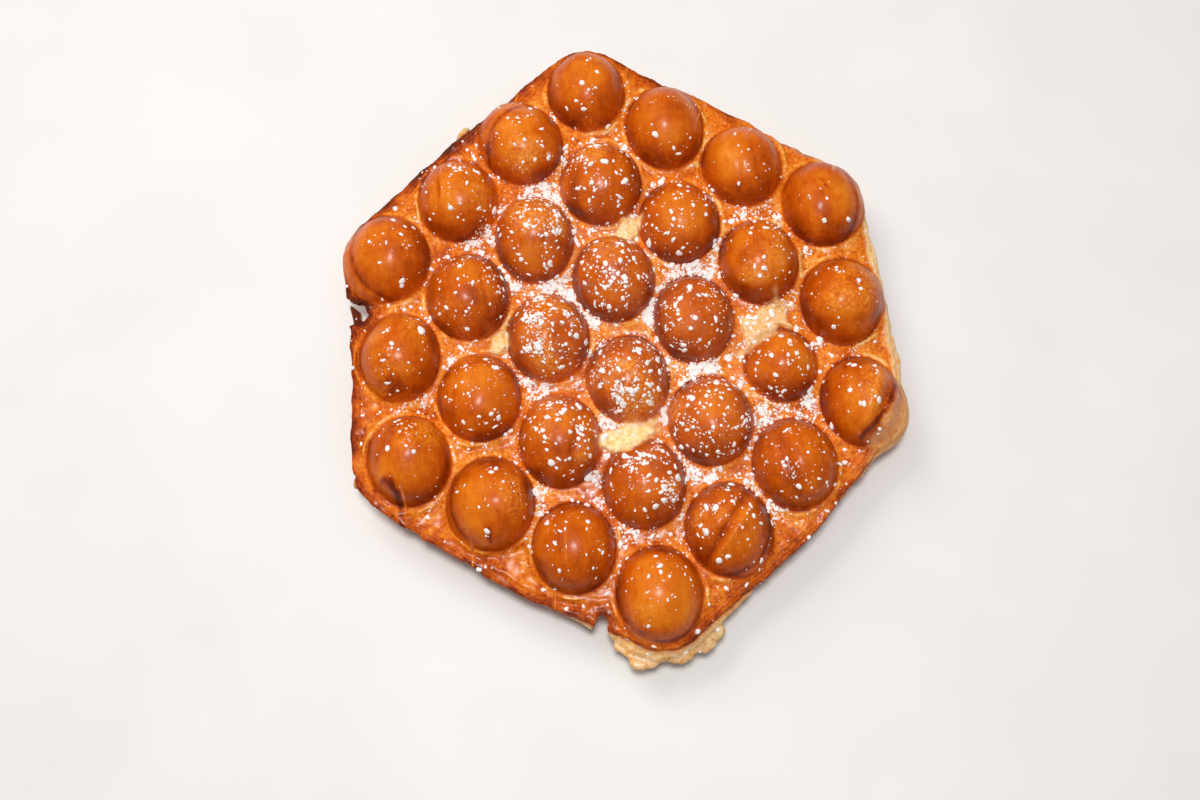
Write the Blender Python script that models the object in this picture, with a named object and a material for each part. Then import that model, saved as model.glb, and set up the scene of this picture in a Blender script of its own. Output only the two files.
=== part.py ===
"""A bubble waffle: thirty egg-shaped bubbles on a thin two-layered crust, with clumps of sugar on top.

Metres, +Z up. Y runs along the eggs and along the waffle's longest side. The waffle rests on its
lower bubbles at Z = 0, and the middle of its bounding box is over the origin.
"""

import math
import random

import bmesh
import bpy
from mathutils import Matrix, Vector, noise

MM = 0.001

# The pan's pattern of cups
EGGS_IN_COLUMN = (3, 4, 5, 6, 5, 4, 3)
EGG_PITCH = 34.8 * MM
COLUMN_PITCH = 24.4 * MM
PATTERN_SHIFT = Vector((0.95, 3.05, 0.0)) * MM

# One egg, from its middle to its side, end and top
EGG_RADII = Vector((13.4, 15.0, 13.8)) * MM
EGG_SIDES = (14, 8)
CREASED_EGG_SIDES = (18, 12)
EGG_SIZE_SPREAD = 0.025
EGG_TILT_SPREAD = math.radians(3.0)
EGG_PLACE_SPREAD = 0.35 * MM

# The crust between the eggs, baked as two layers that meet at the waffle's middle height
MIDDLE_HEIGHT = 13.3 * MM
LAYER_THICKNESS = 2.1 * MM
LAYER_OVERLAP = 0.3 * MM
OUTLINE_STEP = 7.0 * MM
OUTLINE_RIPPLE = 0.9 * MM
RIPPLE_LENGTH = 11.0 * MM
CORNER_STEPS = 3

# How far each layer reaches past the eggs, at each corner and the side after it, clockwise from the far tip
UPPER_REACH = [r * MM for r in (1.8, 1.9, 0.6, 0.8, 0.4, 5.6, 2.6, 6.0, 4.4, 2.2, 1.4, 2.8)]
LOWER_REACH = [r * MM for r in (0.8, 0.7, 1.2, 2.4, 2.2, 4.2, 5.2, 4.6, 3.0, 1.2, 0.6, 1.6)]

# Eggs that are creased: column, row, crease heading from +X, crease place across the egg, depth, half width
CREASES = (
    (4, 0, math.radians(52), -1.0 * MM, 2.4 * MM, 2.2 * MM),
    (5, 0, math.radians(97), -4.0 * MM, 1.3 * MM, 1.8 * MM),
    (6, 0, math.radians(65), 6.5 * MM, 1.6 * MM, 2.0 * MM),
    (2, 1, math.radians(75), 5.0 * MM, 0.9 * MM, 1.6 * MM),
)

# The egg that has slumped, and the one whose lower half stands out past its upper half
SLUMPED_EGG = (5, 1)
SLUMP_SCALE = Vector((0.92, 0.86, 0.90))
SLUMP_SHIFT = Vector((1.0, -1.6, -0.6)) * MM
BELLIED_EGG = (6, 0)
BELLY_RADII = Vector((13.2, 13.6, 11.5)) * MM
BELLY_SHIFT = Vector((2.6, -3.2, -2.2)) * MM

# A pale tongue of batter that ran out under the near tip, with a blunt lobe that runs furthest
TONGUE_MIDDLE = Vector((1.0, -99.0)) * MM
TONGUE_REACH = Vector((17.0, 8.8)) * MM
TONGUE_THICKNESS = 1.6 * MM
TONGUE_DROP = 2.6 * MM
TONGUE_POINTS = 32
TONGUE_LOBE_PLACE = -8.3 * MM
TONGUE_LOBE_LENGTH = 3.2 * MM
TONGUE_LOBE_HALF_WIDTH = 4.2 * MM
TONGUE_RAGGEDNESS = 0.12
TONGUE_WAVES = 3.0

# The torn notches in the edge, each a wedge: one beside the near tip and one at the left side
NOTCHES = (
    ((-19.6, -89.9), (-17.6, -90.4), (-16.6, -102.0), (-26.0, -102.0)),
    ((-81.9, 17.0), (-84.0, 20.6), (-94.0, 24.0), (-94.0, 14.0), (-83.4, 14.0)),
)
NOTCH_DEPTH = 10.0 * MM

# The pointed flake of crust that stands in the left notch, from its tip round to its foot
SHARD_CORNERS = [Vector(c) * MM for c in ((-88.2, 21.4), (-84.4, 17.6), (-84.2, 12.8), (-87.0, 13.2))]
SHARD_THICKNESS = 1.4 * MM

# The small curled flap on the far left edge
FLAP_PLACE = Vector((-44.2, 77.2, 0.6)) * MM
FLAP_RADII = Vector((3.4, 1.7, 1.6)) * MM
FLAP_HEADING = math.radians(50)

# The larger clumps of sugar, which lie thickest round one place
SUGAR_COUNT = 56
SUGAR_RADII = (0.75 * MM, 1.35 * MM)
SUGAR_STRETCH = (0.75, 1.15)
SUGAR_MIDDLE = Vector((1.0, -8.0)) * MM
SUGAR_SPREAD = 42.0 * MM
SUGAR_SPACING = 4.2 * MM
SUGAR_SUNK = 0.1
SUGAR_TRIES = 6000

# The space that is cut away below the table that the waffle rests on
TABLE_REACH = 300.0 * MM
TABLE_DEPTH = 50.0 * MM

# Flat faces that the union leaves split are merged again below the first angle
MERGE_ANGLE = math.radians(0.6)
SHARP_ANGLE = math.radians(38)
WELD_DISTANCE = 0.01 * MM

CRUST_COLOUR = (0.57, 0.15, 0.012, 1.0)
CRUST_ROUGHNESS = 0.32

SEED = 30


def clear_scene():
    for obj in list(bpy.data.objects):
        bpy.data.objects.remove(obj, do_unlink=True)


def new_collection(name):
    collection = bpy.data.collections.new(name)
    bpy.context.scene.collection.children.link(collection)
    return collection


def new_object(name, mesh, collection):
    obj = bpy.data.objects.new(name, mesh)
    collection.objects.link(obj)
    return obj


def crust_material():
    material = bpy.data.materials.new("golden_crust")
    material.use_nodes = True
    shader = material.node_tree.nodes["Principled BSDF"]
    shader.inputs["Base Color"].default_value = CRUST_COLOUR
    shader.inputs["Roughness"].default_value = CRUST_ROUGHNESS
    shader.inputs["Metallic"].default_value = 0.0
    return material


def plan_eggs(draw):
    """Each egg's middle and radii, by column and row, counted from the left and from the near end."""
    middle_column = (len(EGGS_IN_COLUMN) - 1) / 2
    eggs = {}
    for column, count in enumerate(EGGS_IN_COLUMN):
        for row in range(count):
            x = (column - middle_column) * COLUMN_PITCH
            y = (row - (count - 1) / 2) * EGG_PITCH
            radii = Vector([r * (1 + draw.uniform(-1, 1) * EGG_SIZE_SPREAD) for r in EGG_RADII])
            shift = Vector([draw.uniform(-1, 1) * EGG_PLACE_SPREAD for _ in range(2)] + [0.0])
            if (column, row) == SLUMPED_EGG:
                radii = radii * SLUMP_SCALE
                shift = SLUMP_SHIFT
            centre = Vector((x, y, MIDDLE_HEIGHT)) + PATTERN_SHIFT + shift
            eggs[column, row] = (centre, radii)
    return eggs


def crease_drop(egg, point, height_share):
    """How far the creases of an egg lower its upper surface at a point measured from the egg's middle."""
    drop = 0.0
    for column, row, heading, across, depth, half_width in CREASES:
        if (column, row) == egg:
            off_line = point.y * math.cos(heading) - point.x * math.sin(heading) + across
            drop += depth * height_share * math.exp(-((off_line / half_width) ** 2))
    return drop


def write_mesh(name, shape):
    mesh = bpy.data.meshes.new(name)
    shape.to_mesh(mesh)
    shape.free()
    return mesh


def ball_mesh(name, radii, sides, heading=0.0):
    """An ellipsoid whose lines from pole to pole start at a heading."""
    shape = bmesh.new()
    bmesh.ops.create_uvsphere(shape, u_segments=sides[0], v_segments=sides[1], radius=1.0)
    bmesh.ops.rotate(shape, matrix=Matrix.Rotation(heading, 3, "Z"), verts=shape.verts)
    bmesh.ops.scale(shape, vec=radii, verts=shape.verts)
    return write_mesh(name, shape)


def make_eggs(eggs, collection, draw):
    crease_headings = {crease[:2]: crease[2] for crease in CREASES}
    for place, (centre, radii) in eggs.items():
        sides = CREASED_EGG_SIDES if place in crease_headings else EGG_SIDES
        mesh = ball_mesh(f"egg_{place[0]}_{place[1]}", radii, sides, crease_headings.get(place, 0.0))
        for vertex in mesh.vertices:
            if vertex.co.z > 0:
                vertex.co.z -= crease_drop(place, vertex.co, vertex.co.z / radii.z)
        egg = new_object(mesh.name, mesh, collection)
        egg.location = centre
        egg.rotation_euler = [draw.uniform(-1, 1) * EGG_TILT_SPREAD for _ in range(3)]
    belly = new_object("belly", ball_mesh("belly", BELLY_RADII, EGG_SIDES), collection)
    belly.location = eggs[BELLIED_EGG][0] + BELLY_SHIFT


def corner_eggs():
    """The centres of the six corner eggs, clockwise from the far tip."""
    tip = Vector((0.0, (max(EGGS_IN_COLUMN) - 1) / 2 * EGG_PITCH))
    side_x = (len(EGGS_IN_COLUMN) - 1) / 2 * COLUMN_PITCH
    side_y = (EGGS_IN_COLUMN[0] - 1) / 2 * EGG_PITCH
    corners = [tip, Vector((side_x, side_y)), Vector((side_x, -side_y))]
    corners += [-corner for corner in corners]
    return [corner + PATTERN_SHIFT.xy for corner in corners]


def support_point(corner, heading):
    """The outermost point, in a heading, of an egg's outline round a corner."""
    normal = Vector((math.cos(heading), math.sin(heading)))
    reach = math.hypot(EGG_RADII.x * normal.x, EGG_RADII.y * normal.y)
    return corner + Vector((EGG_RADII.x**2 * normal.x, EGG_RADII.y**2 * normal.y)) / reach


def side_heading(start, end):
    """The heading of the outward normal of a side that runs clockwise from start to end."""
    along = end - start
    return math.atan2(along.x, -along.y)


def layer_outline(reaches, seed):
    """The edge of a crust layer: the egg pattern's outline, let out by a reach that varies, with ripples."""
    corners = corner_eggs()
    count = len(corners)
    headings = [side_heading(corners[i], corners[(i + 1) % count]) for i in range(count)]
    points = []

    def add(base, heading, station):
        whole = int(station)
        share = station - whole
        ease = share * share * (3 - 2 * share)
        reach = reaches[whole % len(reaches)] * (1 - ease) + reaches[(whole + 1) % len(reaches)] * ease
        place = Vector((base.x / RIPPLE_LENGTH, base.y / RIPPLE_LENGTH, seed))
        reach += OUTLINE_RIPPLE * noise.noise(place)
        points.append(base + reach * Vector((math.cos(heading), math.sin(heading))))

    for i, corner in enumerate(corners):
        before = headings[i - 1]
        turn = (before - headings[i]) % math.tau
        for step in range(CORNER_STEPS + 1):
            heading = before - turn * step / CORNER_STEPS
            add(support_point(corner, heading), heading, 2.0 * i)
        start = support_point(corner, headings[i])
        end = support_point(corners[(i + 1) % count], headings[i])
        steps = round((end - start).length / OUTLINE_STEP)
        for step in range(1, steps):
            add(start.lerp(end, step / steps), headings[i], 2.0 * i + 2.0 * step / steps)
    return points


def plate_from_outline(name, points, thickness, height, collection):
    """A flat plate of an outline, whose middle is at a height, as a closed mesh."""
    curve = bpy.data.curves.new(name, "CURVE")
    curve.dimensions = "2D"
    curve.fill_mode = "BOTH"
    curve.extrude = thickness / 2
    spline = curve.splines.new("POLY")
    spline.points.add(len(points) - 1)
    for spline_point, point in zip(spline.points, points):
        spline_point.co = (point.x, point.y, 0.0, 1.0)
    spline.use_cyclic_u = True
    guide = new_object(name + "_outline", curve, collection)
    guide.location.z = height
    bpy.context.view_layer.update()
    graph = bpy.context.evaluated_depsgraph_get()
    mesh = bpy.data.meshes.new_from_object(guide.evaluated_get(graph))
    mesh.name = name
    plate = new_object(name, mesh, collection)
    plate.matrix_world = guide.matrix_world
    bpy.data.objects.remove(guide, do_unlink=True)
    shape = bmesh.new()
    shape.from_mesh(mesh)
    bmesh.ops.remove_doubles(shape, verts=shape.verts, dist=WELD_DISTANCE)
    bmesh.ops.recalc_face_normals(shape, faces=shape.faces)
    shape.to_mesh(mesh)
    shape.free()
    return plate


def make_crust_layers(collection, upper_collection):
    offset = (LAYER_THICKNESS - LAYER_OVERLAP) / 2
    upper_edge = layer_outline(UPPER_REACH, SEED)
    lower_edge = layer_outline(LOWER_REACH, SEED + 1)
    plate_from_outline("lower_crust", lower_edge, LAYER_THICKNESS, MIDDLE_HEIGHT - offset, collection)
    return plate_from_outline("waffle", upper_edge, LAYER_THICKNESS, MIDDLE_HEIGHT + offset, upper_collection)


def make_tongue(collection):
    """The thin pale tongue under the near tip, a wide ragged oval with one longer lobe."""
    points = []
    for step in range(TONGUE_POINTS):
        turn = math.tau * step / TONGUE_POINTS
        heading = Vector((math.cos(turn), math.sin(turn)))
        ragged = 1 + TONGUE_RAGGEDNESS * noise.noise(TONGUE_WAVES * heading.to_3d())
        point = TONGUE_MIDDLE + ragged * heading * TONGUE_REACH
        if heading.y < 0:
            off_lobe = (point.x - TONGUE_LOBE_PLACE) / TONGUE_LOBE_HALF_WIDTH
            point.y -= TONGUE_LOBE_LENGTH * math.exp(-(off_lobe**4))
        points.append(point + PATTERN_SHIFT.xy)
    plate_from_outline("tongue", points, TONGUE_THICKNESS, MIDDLE_HEIGHT - TONGUE_DROP, collection)


def make_shard(collection):
    corners = [corner + PATTERN_SHIFT.xy for corner in SHARD_CORNERS]
    return plate_from_outline("shard", corners, SHARD_THICKNESS, MIDDLE_HEIGHT, collection)


def make_flap(collection):
    flap = new_object("flap", ball_mesh("flap", FLAP_RADII, EGG_SIDES), collection)
    flap.location = FLAP_PLACE + PATTERN_SHIFT + Vector((0.0, 0.0, MIDDLE_HEIGHT))
    flap.rotation_euler.z = FLAP_HEADING


def top_height(point, eggs):
    """The height of the waffle's upper surface over a point."""
    height = MIDDLE_HEIGHT + LAYER_THICKNESS - LAYER_OVERLAP / 2
    for egg, (centre, radii) in eggs.items():
        from_middle = point - centre.xy
        rest = 1 - (from_middle.x / radii.x) ** 2 - (from_middle.y / radii.y) ** 2
        if rest > 0:
            share = math.sqrt(rest)
            height = max(height, centre.z + radii.z * share - crease_drop(egg, from_middle, share))
    return height


def inside_pattern(point):
    """Whether a point is inside the outline through the middles of the corner eggs."""
    corners = corner_eggs()
    for i, corner in enumerate(corners):
        heading = side_heading(corner, corners[(i + 1) % len(corners)])
        if (point - corner).dot(Vector((math.cos(heading), math.sin(heading)))) > 0:
            return False
    return True


def make_sugar(eggs, collection, draw):
    """The larger clumps, drawn round one place and kept apart, each sunk a little into the crust."""
    placed = []
    for _ in range(SUGAR_TRIES):
        if len(placed) == SUGAR_COUNT:
            break
        scatter = Vector((draw.gauss(0, SUGAR_SPREAD), draw.gauss(0, SUGAR_SPREAD)))
        point = SUGAR_MIDDLE + PATTERN_SHIFT.xy + scatter
        crowded = any((point - other).length < SUGAR_SPACING for other in placed)
        if crowded or not inside_pattern(point):
            continue
        placed.append(point)
        radius = draw.uniform(*SUGAR_RADII)
        stretch = Vector([draw.uniform(*SUGAR_STRETCH) for _ in range(3)])
        shape = bmesh.new()
        bmesh.ops.create_icosphere(shape, subdivisions=1, radius=radius)
        bmesh.ops.scale(shape, vec=stretch, verts=shape.verts)
        name = f"sugar_{len(placed)}"
        clump = new_object(name, write_mesh(name, shape), collection)
        clump.location = (point.x, point.y, top_height(point, eggs) - SUGAR_SUNK * radius)
        clump.rotation_euler = [draw.uniform(0, math.tau) for _ in range(3)]


def make_cutters(collection):
    """The torn notches, and the space below the table."""
    for number, corners in enumerate(NOTCHES):
        points = [Vector(corner) * MM + PATTERN_SHIFT.xy for corner in corners]
        plate_from_outline(f"notch_{number}", points, NOTCH_DEPTH, MIDDLE_HEIGHT, collection)
    shape = bmesh.new()
    bmesh.ops.create_cube(shape, size=1.0)
    bmesh.ops.scale(shape, vec=(TABLE_REACH, TABLE_REACH, TABLE_DEPTH), verts=shape.verts)
    table = new_object("below_table", write_mesh("below_table", shape), collection)
    table.location.z = -TABLE_DEPTH / 2
    for cutter in collection.objects:
        cutter.hide_render = True
        cutter.display_type = "WIRE"


def add_boolean(obj, name, operation, collection):
    modifier = obj.modifiers.new(name, "BOOLEAN")
    modifier.operation = operation
    modifier.solver = "EXACT"
    modifier.operand_type = "COLLECTION"
    modifier.collection = collection


def apply_modifiers(obj):
    bpy.context.view_layer.update()
    graph = bpy.context.evaluated_depsgraph_get()
    mesh = bpy.data.meshes.new_from_object(obj.evaluated_get(graph))
    mesh.name = obj.name
    mesh.transform(obj.matrix_world)
    obj.modifiers.clear()
    obj.data = mesh
    obj.matrix_world = Matrix.Identity(4)


def remove_all(collection):
    for obj in list(collection.objects):
        bpy.data.objects.remove(obj, do_unlink=True)
    bpy.data.collections.remove(collection)


def main():
    clear_scene()
    draw = random.Random(SEED)
    eggs = plan_eggs(draw)
    parts = new_collection("bubble_waffle")
    fused = new_collection("fused_pieces")
    cutters = new_collection("cutters")
    flakes = new_collection("flakes_in_notches")

    waffle = make_crust_layers(fused, parts)
    make_eggs(eggs, fused, draw)
    make_tongue(fused)
    make_flap(fused)
    make_sugar(eggs, fused, draw)
    make_cutters(cutters)
    make_shard(flakes)

    add_boolean(waffle, "fuse", "UNION", fused)
    add_boolean(waffle, "tear_and_stand_flat", "DIFFERENCE", cutters)
    add_boolean(waffle, "fuse_flakes", "UNION", flakes)
    clean = waffle.modifiers.new("merge_flat_faces", "DECIMATE")
    clean.decimate_type = "DISSOLVE"
    clean.angle_limit = MERGE_ANGLE
    apply_modifiers(waffle)
    for helpers in (fused, cutters, flakes):
        remove_all(helpers)

    waffle.data.materials.clear()
    waffle.data.materials.append(crust_material())
    waffle.data.shade_smooth()
    waffle.data.set_sharp_from_angle(angle=SHARP_ANGLE)


main()
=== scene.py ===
"""The looks of the bubble waffle: its fine crust, sugar and syrup, with the light and the camera.

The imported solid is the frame. Shapes are worked out in millimetres in the frame's own axes and
turned into metres when they become Blender meshes. The values under "The solid's own sizes" are
those of the solid, so that the fine crust lies where the solid does.
"""

import itertools
import random
from math import atan2, cos, exp, pi, radians, sin, sqrt, tau
from types import SimpleNamespace

import bmesh
import bpy
import numpy as np
import openvdb
from mathutils import Euler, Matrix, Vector, noise
from mathutils.bvhtree import BVHTree
from numpy.linalg import norm


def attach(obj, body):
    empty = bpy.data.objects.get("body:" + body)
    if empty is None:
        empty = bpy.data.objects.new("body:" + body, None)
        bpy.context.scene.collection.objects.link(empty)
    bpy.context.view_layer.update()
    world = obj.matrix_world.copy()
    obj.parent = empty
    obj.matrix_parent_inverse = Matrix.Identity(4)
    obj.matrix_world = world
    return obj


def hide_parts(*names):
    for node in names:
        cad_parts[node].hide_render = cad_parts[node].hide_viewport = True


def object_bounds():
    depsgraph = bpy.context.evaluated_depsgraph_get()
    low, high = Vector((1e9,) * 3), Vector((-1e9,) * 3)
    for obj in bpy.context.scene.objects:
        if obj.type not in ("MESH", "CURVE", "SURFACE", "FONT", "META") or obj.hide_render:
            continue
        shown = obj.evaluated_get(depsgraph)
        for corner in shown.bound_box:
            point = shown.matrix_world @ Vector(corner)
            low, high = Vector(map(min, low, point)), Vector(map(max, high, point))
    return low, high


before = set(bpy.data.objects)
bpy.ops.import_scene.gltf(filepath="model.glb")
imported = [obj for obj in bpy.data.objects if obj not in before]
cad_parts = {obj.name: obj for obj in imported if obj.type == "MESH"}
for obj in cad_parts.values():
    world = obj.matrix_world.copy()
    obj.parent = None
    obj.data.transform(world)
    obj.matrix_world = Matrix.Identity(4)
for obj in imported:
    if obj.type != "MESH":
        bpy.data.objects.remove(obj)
CAD_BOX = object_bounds()

MM = 0.001

# The solid's own sizes, in millimetres
EGGS_IN_COLUMN = (3, 4, 5, 6, 5, 4, 3)
EGG_PITCH = 34.8
COLUMN_PITCH = 24.4
PATTERN_SHIFT = np.array((0.95, 3.05, 0.0))
EGG_RADII = (13.4, 15.0, 13.8)
EGG_SIZE_SPREAD = 0.025
EGG_TILT_SPREAD = radians(3.0)
EGG_PLACE_SPREAD = 0.35
MIDDLE_HEIGHT = 13.3
LAYER_THICKNESS = 2.1
LAYER_OVERLAP = 0.3
OUTLINE_STEP = 7.0
OUTLINE_RIPPLE = 0.9
RIPPLE_LENGTH = 11.0
CORNER_STEPS = 3
UPPER_REACH = (1.8, 1.9, 0.6, 0.8, 0.4, 5.6, 2.6, 6.0, 4.4, 2.2, 1.4, 2.8)
LOWER_REACH = (0.8, 0.7, 1.2, 2.4, 2.2, 4.2, 5.2, 4.6, 3.0, 1.2, 0.6, 1.6)
CREASES = (
    (4, 0, radians(52), -1.0, 2.4, 2.2),
    (5, 0, radians(97), -4.0, 1.3, 1.8),
    (6, 0, radians(65), 6.5, 1.6, 2.0),
    (2, 1, radians(75), 5.0, 0.9, 1.6),
)
SLUMPED_EGG = (5, 1)
SLUMP_SCALE = np.array((0.92, 0.86, 0.90))
SLUMP_SHIFT = np.array((1.0, -1.6, -0.6))
BELLIED_EGG = (6, 0)
BELLY_RADII = np.array((13.2, 13.6, 11.5))
BELLY_SHIFT = np.array((2.6, -3.2, -2.2))
TONGUE_MIDDLE = np.array((1.0, -99.0))
TONGUE_REACH = np.array((17.0, 8.8))
TONGUE_THICKNESS = 1.6
TONGUE_DROP = 2.6
TONGUE_POINTS = 32
TONGUE_LOBE_PLACE = -8.3
TONGUE_LOBE_LENGTH = 3.2
TONGUE_LOBE_HALF_WIDTH = 4.2
TONGUE_RAGGEDNESS = 0.12
TONGUE_WAVES = 3.0
NOTCHES = (
    ((-19.6, -89.9), (-17.6, -90.4), (-16.6, -102.0), (-26.0, -102.0)),
    ((-81.9, 17.0), (-84.0, 20.6), (-94.0, 24.0), (-94.0, 14.0), (-83.4, 14.0)),
)
SHARD_CORNERS = ((-88.2, 21.4), (-84.4, 17.6), (-84.2, 12.8), (-87.0, 13.2))
SHARD_THICKNESS = 1.4
FLAP_PLACE = np.array((-44.2, 77.2, 0.6))
FLAP_RADII = np.array((3.4, 1.7, 1.6))
FLAP_HEADING = radians(50)
SUGAR_COUNT = 56
SUGAR_RADII = (0.75, 1.35)
CLUMP_SHAPE_DRAWS = 6
SUGAR_MIDDLE = np.array((1.0, -8.0))
SUGAR_SPREAD = 42.0
SUGAR_SPACING = 4.2
SUGAR_TRIES = 6000
SEED = 30
LOWER_SEED = SEED + 1
EGG_TONE_SEED = SEED + 80
SUGAR_SEED = SEED + 95

# The fine crust: the grid that it is read from, and how it is fitted to the true surface
VOXEL = 0.8
GRID_MARGIN = 3.0
GRID_BAND = 3
FAR = 8.0
EGG_REACH = 24.0
FIT_ROUNDS = 3
FIT_STEP = 0.6
FIT_SLOPE = 0.25
LEAST_SLOPE = 1e-6
SLOPE_STEP = 0.06
FIELD_STEP = 0.5
FIELD_REACH = np.array((104.0, 122.0))
NOISE_CELLS = 64
ABOVE = 60.0

# How the crust swells, folds and thins. A rule for bumps is a step from the seed, then pairs of their
# size and height
FOOT_BLEND = 1.2
BELLY_BLEND = 0.8
EGG_UNEVEN = (62, (13.0, 0.75), (5.0, 0.16))
WEB_WARP = (50, (14.0, 0.5))
WEB_RELIEF = (60, (3.1, 0.26), (1.5, 0.13))
RIM_CURL = (51, (22.0, 1.1))
RIM_RAGGED = (0, (4.5, 0.45), (1.8, 0.22))
NOTCH_RAGGED = (5, (3.0, 0.9), (1.2, 0.4))
TONGUE_RAGGED = (2, (3.4, 0.9), (1.4, 0.45))
COLLAR_WANDER = (53, (6.0, 0.8))
COLLAR_PLACE = 1.3
COLLAR_WIDTH = 0.75
COLLAR_HEIGHT = 0.75
RIM_WIDTH = 7.0
RIM_THINNING = 0.5
RIM_PARTING = 0.35
RIDGE_HEIGHT = 0.45
RIDGE_WIDTH = 0.8
OUTER_RIDGE = -1.2
INNER_RIDGE = -3.4
PALE_SWELL = 1.7
PLATE_WAVE = (52, (7.0, 1.0))
TONGUE_WAVE = 0.9
SHARD_WAVE = 0.3

# Tiny curls on the left edge: middle, radii and heading in degrees
CURLS = (
    ((-90.6, -39.5, 0.6), (2.0, 0.9, 1.2), 75),
    ((-88.8, -45.4, 0.4), (1.6, 1.0, 1.0), 120),
    ((-90.2, -33.6, 0.5), (1.5, 0.7, 0.9), 95),
)

# The eggs with a second shell that stands out on one side: column, row, heading of that side in degrees,
# how far the shell is shifted to it and how much lower its top is
SHELLS = (
    (0, 2, 200, 2.2, 2.8),
    (2, 4, 130, 2.8, 2.4),
    (6, 2, 5, 1.7, 2.6),
    (1, 3, 335, 1.5, 3.6),
    (1, 0, 195, 1.4, 4.0),
    (3, 0, 240, 1.4, 4.6),
    (4, 0, 310, 1.5, 3.8),
    (5, 1, 125, 1.7, 3.6),
    (6, 1, 20, 1.5, 3.2),
    (2, 1, 100, 1.2, 3.4),
    (3, 3, 150, 1.1, 3.6),
    (4, 4, 60, 1.3, 3.6),
    (1, 2, 315, 1.3, 3.8),
)
SHELL_BLEND = 0.25
SHELL_NARROWING = 0.3

# Wrinkles that are too fine for the solid: column, row, heading, place across the egg, depth, half width
WRINKLES = (
    (4, 0, 52, -1.0, -1.2, 2.6),
    (4, 0, 54, -1.2, 1.0, 0.7),
    (4, 0, 52, 1.6, -0.7, 1.1),
    (4, 0, 40, -6.6, 0.5, 0.8),
    (5, 0, 82, 7.5, 0.4, 0.9),
    (6, 0, 60, 3.0, -0.6, 1.6),
    (5, 3, 86, -3.0, 0.3, 0.8),
    (5, 3, 92, 2.6, 0.35, 0.9),
    (1, 1, 80, -7.0, 0.6, 0.8),
    (1, 2, 96, 5.5, 0.5, 0.7),
    (2, 3, 70, 5.0, 0.5, 0.8),
    (0, 0, 60, -7.5, 0.6, 0.9),
    (3, 4, 85, 5.0, 0.3, 0.8),
)

# How the rim is baked: a share for each heading from the middle, in degrees
RIM_BAND = (
    (20, 0.1), (60, 0.3), (90, 0.5), (105, 1.0), (165, 1.0),
    (185, 0.5), (210, 0.6), (290, 0.6), (325, 0.45), (345, 0.0),
)
RIM_LINE = (
    (20, 0.15), (60, 0.4), (85, 0.6), (195, 0.6),
    (215, 0.35), (270, 0.4), (300, 0.25), (345, 0.1),
)
RIM_PALENESS = ((-40, 0.0), (-20, 0.8), (0, 1.0), (25, 1.0), (40, 0.2), (60, 0.0))

# How the crust is baked, with painted shade low on the eggs' sides and in their creases, in shares, with
# rules for bumps as above
EGG_BAKE = 0.39
EGG_TONES = 0.04
EGG_BAKE_PATCHES = (81, (9.0, 0.12))
SUGARED_BAKE = 0.11
# The eggs darker towards their feet: partly browning, partly painted shade
SIDE_BAKE_AND_SHADE = 0.24
SIDE_HEIGHTS = (0.1, 0.95)
WEB_BAKE = 0.41
WEB_BAKE_PATCHES = (82, (6.0, 0.16), (2.2, 0.14))
SHARD_BAKE = 0.35
# Painted shade in the eggs' creases, and painted light on the ridges that stand out
CREASE_SHADE = 0.13
SHELL_PALER = 0.14
PATCH_PALER = 0.3
BELLY_PALER = 0.16
BELLY_CREAM = 0.12
LIP_CREAM = 0.6
RIM_CREAM = 0.7
STAIN_AND_SHADE_ON_CREAM = 2.0
COLLAR_SHARE = 0.45
COLLAR_PATCHES = (40, (9.0, 0.85))
PALE_RAGGED = (70, (3.5, 0.35))
PALE_TORN = (72, (1.2, 0.15))
PALE_EDGE = (0.8, 1.08)
MARK_RAGGED = (71, (1.6, 0.5))
MARK_EDGE = (0.4, 1.3)

# Where a tone starts and where it is full: by how far up the crust faces, or in millimetres
UPWARD = (-0.1, 0.3)
WEB_STARTS = (0.15, 0.9)
SHELL_STARTS = (0.1, 0.5)
BELLY_EDGE = (0.3, 0.8)
BELLY_FOOT = (0.2, 1.0)
BELLY_HEIGHTS = (5.0, 12.0)
TONGUE_EDGE = (0.0, 1.0)
TONGUE_HEIGHTS = (11.2, 12.0)
TONGUE_FOOT = (0.5, 1.5)
SHARD_EDGE = (-0.3, 0.3)
LIP_EDGE = (0.0, 1.0)
LIP_FOOT = (0.8, 2.0)
LIGHT_RIM = (-2.4, -0.8)
PATCH_FOOT = (-1.0, -0.1)

# How far in and out from the upper layer's edge the crust's material reads
EDGE_RANGE = (-9, 2)

# Dark marks on the crust, mostly stains, with painted shade in a dimple and along a fold by the bulging egg:
# start, end, half width and strength
STAINS_AND_SHADE = (
    # Painted shade in a dimple
    ((-80.0, -41.8), (-78.6, -43.0), 2.3, 0.35),
    ((-77.0, -45.5), (-77.8, -57.0), 0.8, 0.4),
    ((-75.4, -10.4), (-73.6, -11.4), 2.6, 0.22),
    ((-53.4, 57.0), (-53.8, 48.9), 0.45, 0.3),
    ((6.0, -4.0), (11.5, -3.0), 0.3, 0.25),
    ((-49.8, -65.0), (-49.6, -61.5), 0.7, 0.25),
    ((72.0, 40.0), (73.2, 36.5), 0.35, 0.3),
    # Painted shade along the fold by the bulging egg
    ((84.0, -31.8), (78.6, -40.2), 0.8, 0.4),
    ((78.6, -40.2), (70.4, -47.0), 0.8, 0.36),
)

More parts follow.
